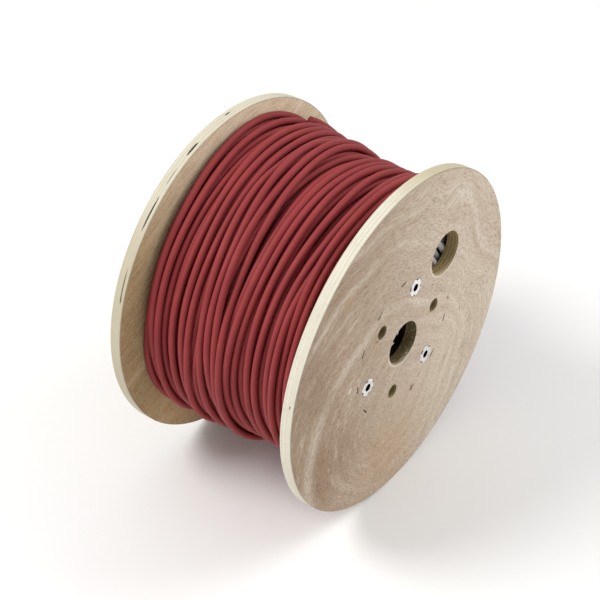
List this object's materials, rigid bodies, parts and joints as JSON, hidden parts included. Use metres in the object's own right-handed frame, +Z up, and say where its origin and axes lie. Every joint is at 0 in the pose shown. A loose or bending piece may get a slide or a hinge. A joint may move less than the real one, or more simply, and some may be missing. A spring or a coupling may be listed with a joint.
{
  "type": "cable drum",
  "caption": "Plywood cable drum with round flanges on a bolted barrel, wound full with round cable; spindle bore, drive holes and a lead-out hole in the flange.",
  "frame": {"origin": "on the ground under the middle of the drum, where its bounding box has its bottom centre; the drum's axis is one flange radius above it", "axes": "+Y is the drum's own axis, from the front flange with the tee nuts and the lead-out hole to the rear flange with the bolt heads; +Z is up, and the drum stands on both rims; +X is to the right as the front flange is looked at"},
  "size_m": [0.3998, 0.2461, 0.3998],
  "materials": {
    "plywood": "bare sanded plywood, tan face veneer with faint grain and a paler layered edge",
    "ring_plywood": "bare rough plywood, inside the barrel",
    "barrel_board": "brown wound board, inside the winding",
    "cable_sheath": "dull dark red cable sheath with a soft sheen",
    "zinc_plate": "bright zinc-plated pressed steel",
    "bolt_steel": "zinc-plated bolt steel",
    "staple_wire": "dull galvanised staple wire"
  },
  "bodies": {
    "root": {"flange_front": "plywood", "flange_rear": "plywood", "locating_ring_front": "ring_plywood", "locating_ring_rear": "ring_plywood", "barrel_sleeve": "barrel_board", "cable_winding": "cable_sheath", "tee_nut_1": "zinc_plate", "tee_nut_2": "zinc_plate", "tee_nut_3": "zinc_plate", "washer_1": "zinc_plate", "washer_2": "zinc_plate", "washer_3": "zinc_plate", "tie_bolt_1": "bolt_steel", "tie_bolt_2": "bolt_steel", "tie_bolt_3": "bolt_steel", "staple_front_1": "staple_wire", "staple_front_2": "staple_wire", "staple_front_3": "staple_wire", "staple_front_4": "staple_wire", "staple_front_5": "staple_wire", "staple_front_6": "staple_wire", "staple_front_7": "staple_wire", "staple_front_8": "staple_wire", "staple_rear_1": "staple_wire", "staple_rear_2": "staple_wire", "staple_rear_3": "staple_wire", "staple_rear_4": "staple_wire", "staple_rear_5": "staple_wire", "staple_rear_6": "staple_wire", "staple_rear_7": "staple_wire", "staple_rear_8": "staple_wire"}
  },
  "joints": []
}
